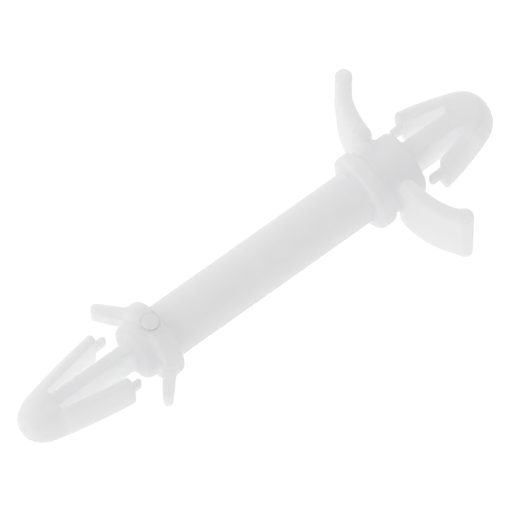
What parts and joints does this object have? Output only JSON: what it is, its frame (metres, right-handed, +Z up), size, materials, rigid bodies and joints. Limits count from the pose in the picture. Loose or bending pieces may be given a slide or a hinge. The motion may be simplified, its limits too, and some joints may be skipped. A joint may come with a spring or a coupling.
{
  "type": "snap-in circuit board spacer post",
  "caption": "One-piece moulded nylon spacer post with a split snap-in arrowhead and tension wings at each end, for holding a circuit board above a chassis.",
  "frame": {"origin": "middle of the part's bounding box, on the axis of the post", "axes": "+X along the post from the board end to the chassis end, +Y across the wings to the side named left, +Z up, the direction in which the mould opens and the way the part faces when it lies flat"},
  "size_m": [0.0426, 0.0156, 0.006],
  "materials": {
    "nylon": "natural translucent nylon, satin as moulded"
  },
  "bodies": {
    "body": {"post_shaft": "nylon", "board_collar": "nylon", "board_hub": "nylon", "board_stem": "nylon", "board_nose": "nylon", "board_pin_mark": "nylon", "chassis_collar": "nylon", "chassis_hub": "nylon", "chassis_stem": "nylon", "chassis_nose": "nylon"},
    "board_barb_left": {"board_barb_left": "nylon", "board_nib_left": "nylon"},
    "chassis_barb_left": {"chassis_barb_left": "nylon", "chassis_nib_left": "nylon"},
    "board_wing_left": {"board_wing_left": "nylon"},
    "chassis_wing_left": {"chassis_wing_left": "nylon", "chassis_bead_left": "nylon"},
    "board_barb_right": {"board_barb_right": "nylon", "board_nib_right": "nylon"},
    "chassis_barb_right": {"chassis_barb_right": "nylon", "chassis_nib_right": "nylon"},
    "board_wing_right": {"board_wing_right": "nylon"},
    "chassis_wing_right": {"chassis_wing_right": "nylon", "chassis_bead_right": "nylon"}
  },
  "joints": [
    {"name": "board_barb_left_flex", "type": "hinge", "parent": "body", "child": "board_barb_left", "pos_m": [-0.01842, 0.00152, 0], "axis": [0, 0, -1], "range_deg": [0, 7], "stiffness_Nm_per_rad": 0.02},
    {"name": "board_wing_left_flex", "type": "hinge", "parent": "body", "child": "board_wing_left", "pos_m": [-0.00997, 0.00272, 0], "axis": [0, 0, -1], "range_deg": [0, 12], "stiffness_Nm_per_rad": 0.02},
    {"name": "chassis_barb_left_flex", "type": "hinge", "parent": "body", "child": "chassis_barb_left", "pos_m": [0.01835, 0.00193, 0], "axis": [0, 0, 1], "range_deg": [0, 18], "stiffness_Nm_per_rad": 0.02},
    {"name": "chassis_wing_left_flex", "type": "hinge", "parent": "body", "child": "chassis_wing_left", "pos_m": [0.01206, 0.00261, 0], "axis": [0, 0, 1], "range_deg": [0, 8], "stiffness_Nm_per_rad": 0.02},
    {"name": "board_barb_right_flex", "type": "hinge", "parent": "body", "child": "board_barb_right", "pos_m": [-0.01842, -0.00152, 0], "axis": [0, 0, 1], "range_deg": [0, 7], "stiffness_Nm_per_rad": 0.02},
    {"name": "board_wing_right_flex", "type": "hinge", "parent": "body", "child": "board_wing_right", "pos_m": [-0.00997, -0.00272, 0], "axis": [0, 0, 1], "range_deg": [0, 12], "stiffness_Nm_per_rad": 0.02},
    {"name": "chassis_barb_right_flex", "type": "hinge", "parent": "body", "child": "chassis_barb_right", "pos_m": [0.01835, -0.00193, 0], "axis": [0, 0, -1], "range_deg": [0, 18], "stiffness_Nm_per_rad": 0.02},
    {"name": "chassis_wing_right_flex", "type": "hinge", "parent": "body", "child": "chassis_wing_right", "pos_m": [0.01206, -0.00261, 0], "axis": [0, 0, -1], "range_deg": [0, 8], "stiffness_Nm_per_rad": 0.02}
  ]
}
